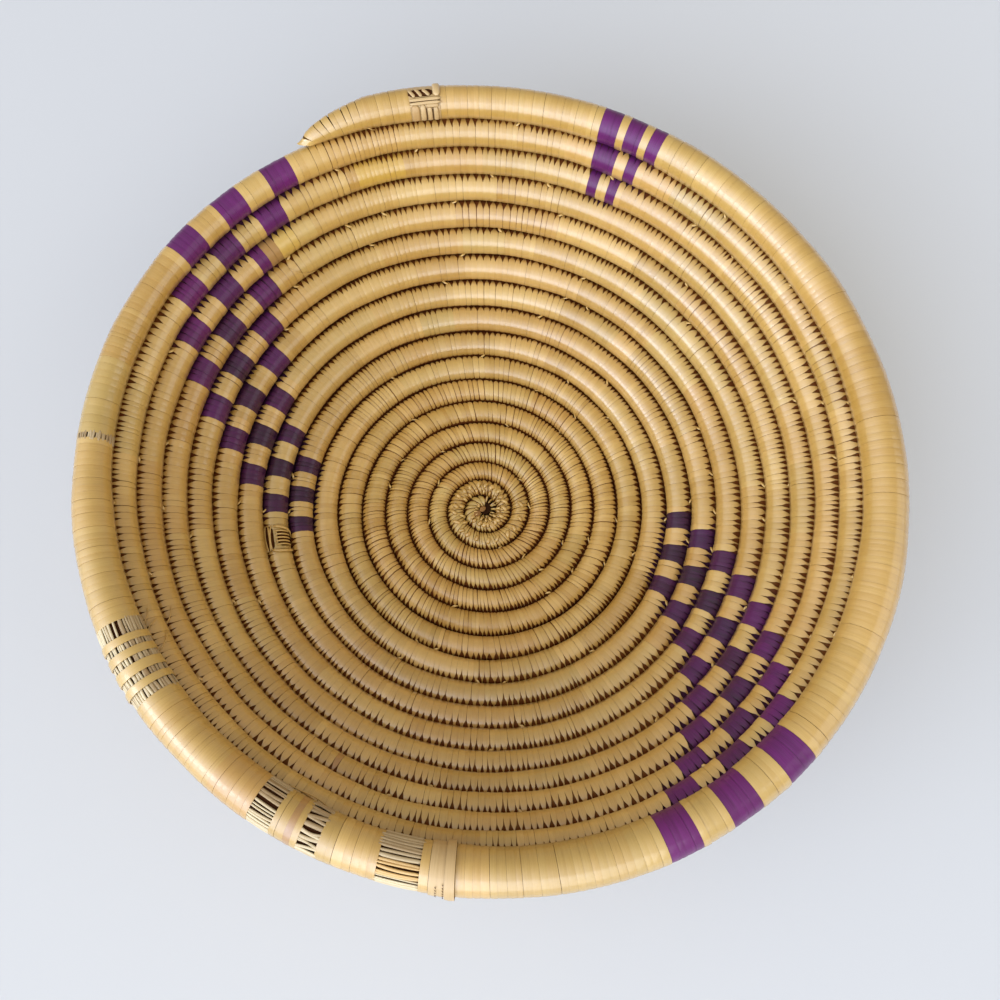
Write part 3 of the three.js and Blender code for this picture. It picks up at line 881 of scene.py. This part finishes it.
# %% Cross the strips of the tail's tie
tail_start, tail_end = tail_tie
crossed_rods = [
    rod((tail_start - 0.0004, 45), (tail_end, 47), (0.55, 0.45), 1.5, 0.5, tone=0.7),
    rod((tail_start - 0.0004, 57), (tail_end, 59), (0.5, 0.4), 1.4, 0.5, tone=0.9),
    rod((tail_start + 0.0012, -24), (tail_start + 0.0012, 38), (0.7, 0.7), 3.2, 1.0, tone=1.6),
    rod((tail_start + 0.0128, 8), (tail_start + 0.0108, 36), (0.4, 0.5), 1.5, 0.5, tone=0.9),
    rod((tail_start + 0.0100, 4), (tail_start + 0.0078, 36), (0.4, 0.5), 1.5, 0.5, tone=0.4),
    rod((tail_start + 0.0070, 8), (tail_start + 0.0044, 34), (0.4, 0.5), 1.6, 0.5, tone=0.9),
    rod((tail_start + 0.0008, 68), (tail_start + 0.0062, 68), (0.35, 0.35), 1.7, 0.5, tone=-0.6),
    rod((tail_start + 0.0112, 62), (tail_start + 0.0112, 146), (0.2, 0.1), 4.0, 0.4, tone=-0.8, hue=1.5),
    rod((tail_start + 0.0078, 62), (tail_start + 0.0078, 146), (0.2, 0.1), 2.7, 0.5, tone=1.5),
    rod((tail_start + 0.0050, 72), (tail_start + 0.0050, 146), (0.2, 0.1), 2.6, 0.5, tone=1.3),
    rod((tail_start + 0.0022, 72), (tail_start + 0.0022, 146), (0.2, 0.1), 2.5, 0.5, tone=1.1),
]
crossed_strips = lay_rods("crossed_strips", crossed_rods)
print(len(crossed_rods), "crossed strips")

# %% [markdown]
# The gaps between such strips are too narrow for the bundle to show through, so thin rods painted dark
# stand in for the shade in them, as painted shadow. The small marks on the rim's other tie are made in the
# same way.

# %% Lay the painted shadow in the gaps
TIE_MARK_ROWS = ((264.8, -44, -8), (265.7, -52, 4), (266.0, -40, -20))  # along the rim, from, to
TIE_MARK_STEP = 8
GAP_SHADE = 1.2

gap_rods = [
    rod((at_degrees(16, along), around), (at_degrees(16, along + 0.13), around - 3), (1, 1), 0.35, 0.2)
    for along, low, high in TIE_MARK_ROWS for around in range(low, high, TIE_MARK_STEP)
]
gap_rods += [
    rod((start + 0.004, 104), (end - 0.003, 104), (0.38, 0.38), 6.5, 0.2),
    rod((start + 0.001, 36), (end - 0.001, 36), (0.36, 0.36), 5.0, 0.2),
    rod((tail_start, 52), (tail_end, 53), (0.5, 0.45), 0.35, 0.3),
    rod((tail_start + 0.003, 22), (tail_end, 22), (0.36, 0.36), 3.4, 0.2),
    rod((tail_start + 0.0036, 74), (tail_start + 0.0036, 140), (0.42, 0.42), 0.35, 0.2),
    rod((tail_start + 0.0064, 74), (tail_start + 0.0064, 140), (0.42, 0.42), 0.35, 0.2),
]
gap_shadow_rods = lay_rods("gap_shadow_rods", gap_rods, groove=GAP_SHADE)
print(len(gap_rods), "dark gaps")

# %% [markdown]
# ## The knot in the middle
#
# The first stitches round the middle are short and lie over each other like grains of rice, two or
# three deep. They could come from the wrap itself, but each leans its own way, so they are laid as
# short rods, in three layers from the hole outwards.

# %% Lay the first grains
GRAIN_LAYERS = (  # first and last turn, degrees round the coil, how many
    (0.3, 1.2, 178, 152, 19),
    (0.3, 1.6, 146, 110, 23),
    (0.6, 2.0, 102, 66, 30),
)
GRAIN_WIDTH, GRAIN_THICKNESS = (1.3, 1.9), 1.1
GRAIN_JITTER = 7  # degrees
GRAIN_LIFT = 0.3
GRAIN_REACH = (1.0, 3.4)  # mm that the first grains stand out over the hole
HOLE_RADIUS = 3.5

grain_rods = []
for first, last, high, low, count in GRAIN_LAYERS:
    for turn in np.linspace(first, last, count):
        turn = turn + chance.uniform(-0.01, 0.01)
        swing = chance.uniform(-0.02, 0.02) / max(turn, 0.5)
        around = np.array([high, low]) + chance.uniform(-GRAIN_JITTER, GRAIN_JITTER)
        to_hole = radius_at(turn) - half_coil(turn) - HOLE_RADIUS
        is_first = high > 150 and turn < 1 + COIL_START
        reach = np.clip(to_hole, *GRAIN_REACH) if is_first else GRAIN_LIFT
        grain_rods.append(rod(
            (turn + 0.02 + swing, around[0]), (turn, around[1]), (reach, GRAIN_LIFT),
            chance.uniform(*GRAIN_WIDTH), GRAIN_THICKNESS, bow=chance.normal(0, 0.15), rise=0.5,
            tone=chance.normal(0.9, 1.3), hue=chance.normal(0, 0.6),
        ))
first_grains = lay_rods("first_grains", grain_rods)
print(len(grain_rods), "grains")

# %% [markdown]
# The bundle starts as a thin brown end, folded over in two lumps, beside a small hole in shade. Nobody
# sees more of it than the two lumps, so squashed balls will do, and two lumps in painted shadow, nearly
# black, close the hole.

# %% Fold the bundle's end
LUMPS_OF_THE_END = (  # where from the spiral's middle, the half sizes and the turn to the left
    ((-3.4, -2.3, 6.5), (2.2, 1.6, 0.9), 25),
    ((-0.5, 0.0, 6.8), (1.7, 1.3, 1.0), 42),
)
HOLE = (  # lumps in painted shadow that close the hole: the same values
    ((0.8, 0.6, 2.4), (6.8, 6.8, 1.3), 0),
    ((0.6, 0.9, 4.6), (3.6, 3.0, 0.9), 35),
)
HOLE_SHADE = 1.3


# The last value darkens the balls with painted shade, as for the hole.
def squashed_balls(name, balls, groove=0.0):
    bm = bmesh.new()
    for middle, radii, degrees in balls:
        ball = bmesh.ops.create_uvsphere(bm, u_segments=16, v_segments=10, radius=1)["verts"]
        bmesh.ops.scale(bm, verts=ball, vec=radii)
        turned = Matrix.Rotation(math.radians(degrees), 3, "Z")
        bmesh.ops.rotate(bm, verts=ball, cent=(0, 0, 0), matrix=turned)
        bmesh.ops.translate(bm, verts=ball, vec=middle)
    piece = new_piece(name, new_mesh(name, bm))
    points = corners_of(piece.data)
    values = {"groove": np.full(len(points), groove), "dye": np.zeros(len(points)), "strand": points}
    return settle(piece, points + SPIRAL_MIDDLE, values)


bundle_end = squashed_balls("bundle_end", LUMPS_OF_THE_END)
hole_shadow_plug = squashed_balls("hole_shadow_plug", HOLE, groove=HOLE_SHADE)
print("the hole is closed with", len(HOLE), "dark lumps")

# %% [markdown]
# ## Straw, dye and grass
#
# Split straw is satin: long fibres run along the strand, and a wide soft highlight lies across the
# crown of each round. Every strand has its own tone. A picture could give this, but it would fix
# the pattern to one view, so nodes make it from the values on the vertices. The same few kinds of
# node come up again and again, and a small class gives them short names.

# %% Give the nodes short names


class Nodes:
    """One node tree, with a word for each kind of node that is used here."""

    def __init__(self, tree):
        self.tree = tree

    def new(self, kind):
        return self.tree.nodes.new("ShaderNode" + kind)

    def link(self, output, socket):
        self.tree.links.new(output, socket)

    def attribute(self, name, output="Fac"):
        node = self.new("Attribute")
        node.attribute_name = name
        return node.outputs[output]

    def noise(self, place, scale, detail=2.0):
        node = self.new("TexNoise")
        node.inputs["Scale"].default_value = scale
        node.inputs["Detail"].default_value = detail
        self.link(place, node.inputs["Vector"])
        return node.outputs["Fac"]

    def remap(self, value, low, high, to_low, to_high):
        node = self.new("MapRange")
        ends = {"From Min": low, "From Max": high, "To Min": to_low, "To Max": to_high}
        for key, number in ends.items():
            node.inputs[key].default_value = number
        self.link(value, node.inputs["Value"])
        return node.outputs["Result"]

    def mixed(self, factor, first, second):
        """A colour mix; each of factor, first and second is a socket or a plain value."""
        node = self.new("Mix")
        node.data_type = "RGBA"
        for key, value in (("Factor_Float", factor), ("A_Color", first), ("B_Color", second)):
            socket = next(s for s in node.inputs if s.identifier == key)
            if isinstance(value, bpy.types.NodeSocket):
                self.link(value, socket)
            else:
                socket.default_value = value
        return next(s for s in node.outputs if s.identifier == "Result_Color")


def new_material(name):
    material = bpy.data.materials.new(name)
    material.use_nodes = True
    return material, Nodes(material.node_tree), material.node_tree.nodes["Principled BSDF"]


print("words for nodes:", ", ".join(word for word in vars(Nodes) if not word.startswith("_")))

# %% [markdown]
# All strands share one effect, the fibres. A node group makes them once, from the strand's own
# coordinates. The first runs across the strand, so the streaks are fine that way and long the other
# way. The flecks are spots of about a millimetre, and they vary the roughness.

# %% Build the shared fibre group
FIBRE_STRETCH = (4.0, 0.16, 0.16)
FLECK_SCALE = 0.9


def fibre_group():
    group = bpy.data.node_groups.new("plant_fibre", "ShaderNodeTree")
    group.interface.new_socket("Strand", in_out="INPUT", socket_type="NodeSocketVector")
    group.interface.new_socket("Streak", in_out="OUTPUT", socket_type="NodeSocketFloat")
    group.interface.new_socket("Fleck", in_out="OUTPUT", socket_type="NodeSocketFloat")
    nodes = Nodes(group)
    given = group.nodes.new("NodeGroupInput")
    result = group.nodes.new("NodeGroupOutput")
    stretch = nodes.new("Mapping")
    stretch.inputs["Scale"].default_value = FIBRE_STRETCH
    nodes.link(given.outputs["Strand"], stretch.inputs["Vector"])
    streak = nodes.noise(stretch.outputs["Vector"], 1.0, detail=3.0)
    nodes.link(streak, result.inputs["Streak"])
    fleck = nodes.noise(given.outputs["Strand"], FLECK_SCALE, detail=4.0)
    nodes.link(fleck, result.inputs["Fleck"])
    return group


plant_fibre = fibre_group()
print("fibre group:", len(plant_fibre.nodes), "nodes")

# %% [markdown]
# A strand's colour is built in layers: as on the real one, its own tone between dark and pale, the fibres,
# a leaning towards one of two hues, a stain and the grime of handling, and at last painted shade in the
# grooves and along its edges. The shine is a coat over the strand, and most of it is worn off in the base.

# %% Mix a strand's material
TONE_ENDS = 2.4  # a strand of this tone has the pale colour, and one of minus this the dark one
FIBRE_SHARE, HUE_SHARE, STAIN_SHARE, GRIME_SHARE = 0.3, 0.5, 0.5, 0.3
GRIME_SCALE = 22
GROOVE_SHADE, EDGE_SHADE = 0.45, 0.28
EDGE_WIDTH = (0.76, 0.97)  # where the painted shade along a strand's edge starts, from its middle at 0
YELLOW, BROWN = (0.72, 0.46, 0.05, 1), (0.3, 0.09, 0.03, 1)
COAT_ROUGHNESS = 0.17
COAT_IOR = 1.7
COAT_LEFT_IN_BASE = 0.2


def strand_material(name, pale, dark, hue_low, hue_high, groove, roughness, gloss, coat, bump):
    """A strand: pale to dark by tone, two hues, a colour for the painted shade in the grooves and along
    the edges, and fibres along it.
    """
    material, nodes, shader = new_material(name)
    fibre = nodes.new("Group")
    fibre.node_tree = plant_fibre
    nodes.link(nodes.attribute("strand", "Vector"), fibre.inputs["Strand"])
    streak, fleck = fibre.outputs["Streak"], fibre.outputs["Fleck"]
    hue, stain = nodes.attribute("hue"), nodes.attribute("stain")
    place = nodes.new("TexCoord").outputs["Object"]

    tone = nodes.remap(nodes.attribute("tone"), -TONE_ENDS, TONE_ENDS, 0, 1)
    colour = nodes.mixed(tone, dark, pale)
    streaks = nodes.mixed(nodes.remap(streak, 0.3, 0.7, 0, 1), dark, pale)
    colour = nodes.mixed(FIBRE_SHARE, colour, streaks)
    colour = nodes.mixed(nodes.remap(hue, 0, -2.4, 0, HUE_SHARE), colour, hue_low)
    colour = nodes.mixed(nodes.remap(hue, 0, 2.6, 0, HUE_SHARE), colour, hue_high)
    colour = nodes.mixed(nodes.remap(stain, 0, 1, 0, STAIN_SHARE), colour, YELLOW)
    colour = nodes.mixed(nodes.remap(stain, 0, -1, 0, STAIN_SHARE), colour, BROWN)
    grime = nodes.remap(nodes.noise(place, GRIME_SCALE, detail=3), 0.45, 0.75, 0, GRIME_SHARE)
    colour = nodes.mixed(grime, colour, dark)
    # painted shade: darker towards the grooves, and along the long edges where neighbours meet
    shade = nodes.remap(nodes.attribute("groove"), 0, 1, 0, GROOVE_SHADE)
    colour = nodes.mixed(shade, colour, groove)
    edge = nodes.remap(nodes.attribute("edge"), *EDGE_WIDTH, 0, EDGE_SHADE)
    colour = nodes.mixed(edge, colour, groove)
    nodes.link(colour, shader.inputs["Base Color"])

    worn = nodes.remap(nodes.attribute("worn"), 0, 1, coat, COAT_LEFT_IN_BASE * coat)
    nodes.link(worn, shader.inputs["Coat Weight"])
    rough = nodes.remap(fleck, 0.3, 0.7, roughness - 0.07, roughness + 0.1)
    nodes.link(rough, shader.inputs["Roughness"])
    relief = nodes.new("Bump")
    relief.inputs["Strength"].default_value = bump
    relief.inputs["Distance"].default_value = 0.1 * MM
    nodes.link(streak, relief.inputs["Height"])
    nodes.link(relief.outputs["Normal"], shader.inputs["Normal"])
    shader.inputs["Specular IOR Level"].default_value = gloss
    shader.inputs["Coat IOR"].default_value = COAT_IOR
    shader.inputs["Coat Roughness"].default_value = COAT_ROUGHNESS
    return material


straw = strand_material(
    "straw", pale=(0.72, 0.47, 0.13, 1), dark=(0.44, 0.235, 0.025, 1), hue_low=(0.48, 0.35, 0.09, 1),
    hue_high=(0.62, 0.33, 0.08, 1), groove=(0.3, 0.12, 0.02, 1), roughness=0.45, gloss=1.0, coat=1.0,
    bump=0.35,
)
print("the straw's material:", len(straw.node_tree.nodes), "nodes")

# %% [markdown]
# The other strands are made by the same function with other values. The dyed ones are a deep purple
# and shine little, the ties are a little paler than the straw, and the bare stems are the palest,
# with some golden ones.

# %% Mix the dyed straw, the ties and the bare stems
dyed_straw = strand_material(
    "dyed_straw", pale=(0.17, 0.013, 0.16, 1), dark=(0.02, 0.01, 0.016, 1),
    hue_low=(0.1, 0.014, 0.13, 1), hue_high=(0.14, 0.012, 0.09, 1), groove=(0.012, 0.004, 0.012, 1),
    roughness=0.42, gloss=0.25, coat=0.3, bump=0.4,
)
tie_straw = strand_material(
    "tie_straw", pale=(0.74, 0.54, 0.27, 1), dark=(0.45, 0.28, 0.1, 1), hue_low=(0.48, 0.36, 0.13, 1),
    hue_high=(0.55, 0.3, 0.1, 1), groove=(0.24, 0.11, 0.035, 1), roughness=0.42, gloss=0.6, coat=0.3,
    bump=0.5,
)
bare_grass = strand_material(
    "bare_grass", pale=(0.84, 0.72, 0.46, 1), dark=(0.3, 0.17, 0.06, 1), hue_low=(0.4, 0.32, 0.14, 1),
    hue_high=(0.8, 0.42, 0.06, 1), groove=(0.1, 0.04, 0.015, 1), roughness=0.45, gloss=0.5, coat=0.1,
    bump=0.6,
)
print("strands:", ", ".join(m.name for m in (straw, dyed_straw, tie_straw, bare_grass)))

# %% [markdown]
# The bundle is seen only between strands. It is golden brown in the open; painted shade makes it dark in
# the grooves and nearly black on the rim, between the bare stems, and where a dyed strand runs along it,
# it is purple darkened by painted shade. The rods in the narrow gaps and the lumps in the hole use it too,
# for their painted shadow. One material does it all, because the values on the vertices say which of these
# holds at each place.

# %% Mix the grass in shadow
GRASS_BROWN, GRASS_GOLD = (0.2, 0.09, 0.03, 1), (0.4, 0.21, 0.07, 1)
# painted shade: the bundle's colour in the grooves, in the deepest shade, and where dyed grass lies in
# shade
GRASS_GROOVE_SHADE, GRASS_DEEP_SHADE = (0.12, 0.033, 0.006, 1), (0.02, 0.008, 0.003, 1)
GRASS_DYED_IN_SHADE = (0.03, 0.008, 0.035, 1)


def grass_in_shadow():
    material, nodes, shader = new_material("grass_in_shadow")
    groove = nodes.attribute("groove")
    stems = nodes.noise(nodes.attribute("strand", "Vector"), 1.2)
    colour = nodes.mixed(stems, GRASS_BROWN, GRASS_GOLD)
    colour = nodes.mixed(nodes.remap(groove, 0.5, 0.88, 0, 1), colour, GRASS_GROOVE_SHADE)
    colour = nodes.mixed(nodes.remap(groove, 1, 1.3, 0, 0.9), colour, GRASS_DEEP_SHADE)
    colour = nodes.mixed(nodes.remap(nodes.attribute("dye"), 0, 1, 0, 0.85), colour, GRASS_DYED_IN_SHADE)
    nodes.link(colour, shader.inputs["Base Color"])
    shader.inputs["Roughness"].default_value = 0.9
    shader.inputs["Specular IOR Level"].default_value = 0.1
    return material


grass_shadow = grass_in_shadow()
print("the bundle's material:", len(grass_shadow.node_tree.nodes), "nodes")

# %% [markdown]
# ## Dressing the pieces
#
# Each piece gets its material and rides on the basket's one body. A piece that stands in for a packed node
# names that node, so that the node itself is hidden.

# %% Dress the pieces and tie them to the frame
dressed = []


def dress(piece, material, nodes=()):
    piece.data.materials.clear()
    piece.data.materials.append(material)
    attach(piece, "root")
    if nodes:
        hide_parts(*nodes)
    dressed.append(piece)


for piece, node in straw_pieces:
    dress(piece, straw, [node])
for piece, node in dyed_pieces:
    dress(piece, dyed_straw, [node])
for piece, node in tie_pieces:
    dress(piece, tie_straw, [node])
dress(bundle, grass_shadow, ["grass_core"])
dress(bare_stems, bare_grass)
dress(gap_shadow_rods, grass_shadow)
dress(bundle_end, grass_shadow, ["start_knot"])
dress(hole_shadow_plug, grass_shadow)
for piece in (first_grains, splice_ends, loose_fibres, frayed_patch):
    dress(piece, straw)
dress(crossed_strips, tie_straw)
print(len(dressed), "dressed pieces")

# %% [markdown]
# ## Floor and light
#
# The floor is plain, pale and matt, and wide enough to fill the picture. One flat face is enough, so
# a grid of a single cell makes it.

# %% Lay the floor
FLOOR_HALF = 3.0  # metres
FLOOR_COLOUR = (0.63, 0.65, 0.67, 1)

bm = bmesh.new()
bmesh.ops.create_grid(bm, x_segments=1, y_segments=1, size=FLOOR_HALF)
floor = new_piece("floor", new_mesh("floor", bm))
floor_material, _, floor_shader = new_material("pale_floor")
floor_shader.inputs["Base Color"].default_value = FLOOR_COLOUR
floor_shader.inputs["Roughness"].default_value = 0.9
floor.data.materials.append(floor_material)
print("floor:", 2 * FLOOR_HALF, "m wide")

# %% [markdown]
# Lamps and the room share the work. The three lamps are square and weak: one stands at the near left
# and shines on the right wall, one hangs low in front and whitens the outside of the near rim, and
# one on the right shines across the bowl on the left wall.

# %% Hang the lamps
LAMPS = {  # size, place in metres, power in watts
    "near_left": (0.6, (-1.2, -0.6, 0.85), 3.2),
    "low_front": (1.3, (0.0, -1.3, 0.7), 7),
    "far_side": (1.5, (1.5, -0.3, 0.9), 6),
}
LAMP_AIM = (0, 0, 0.05)
LAMP_COLOUR = (0.95, 0.98, 1.0)

for name, (size, place, power) in LAMPS.items():
    lamp_data = bpy.data.lights.new(name, "AREA")
    lamp_data.shape = "SQUARE"
    lamp_data.size = size
    lamp_data.energy = power
    lamp_data.color = LAMP_COLOUR
    lamp = bpy.data.objects.new(name, lamp_data)
    lamp.location = place
    aim = np.array(LAMP_AIM) - np.array(place)
    tilt = math.atan2(math.hypot(aim[0], aim[1]), -aim[2])
    lamp.rotation_euler = (tilt, 0, math.atan2(-aim[0], aim[1]))
    scene.collection.objects.link(lamp)
print(len(LAMPS), "lamps")

# %% [markdown]
# The room could be one even colour, but then it would light every wall alike. So its light depends
# on the direction: bright and cool from the near left and above, dimmer and warm elsewhere. A power
# keeps the bright part narrow.

# %% Light the room
BRIGHT_SIDE = (-0.62, -0.6, 0.45)
BRIGHT_POWER = 4
BRIGHT_FROM = -0.6  # the room brightens from here, where 1 is straight at the bright side
ROOM_COLOURS = ((1.0, 0.9, 0.74, 1), (0.82, 0.97, 1.3, 1))  # elsewhere, and on the bright side
ROOM_LEVELS = (0.4, 2.85)

world = bpy.data.worlds.new("room")
scene.world = world
world.use_nodes = True
room = Nodes(world.node_tree)
sky = world.node_tree.nodes["Background"]
facing = room.new("VectorMath")
facing.operation = "DOT_PRODUCT"
facing.inputs[1].default_value = BRIGHT_SIDE
room.link(room.new("TexCoord").outputs["Generated"], facing.inputs[0])
bright = room.new("Math")
bright.operation = "POWER"
bright.inputs[1].default_value = BRIGHT_POWER
room.link(room.remap(facing.outputs["Value"], BRIGHT_FROM, 1, 0, 1), bright.inputs[0])
share = bright.outputs["Value"]
room.link(room.remap(share, 0, 1, *ROOM_LEVELS), sky.inputs["Strength"])
room.link(room.mixed(share, *ROOM_COLOURS), sky.inputs["Color"])
scene.view_settings.view_transform = "Standard"
print("room light from", ROOM_LEVELS[0], "to", ROOM_LEVELS[1])

# %% [markdown]
# ## The box round the strands
#
# The box round the strands isn't quite that of the packed solids: it is 2 mm higher and 1 to 2 mm
# narrower.
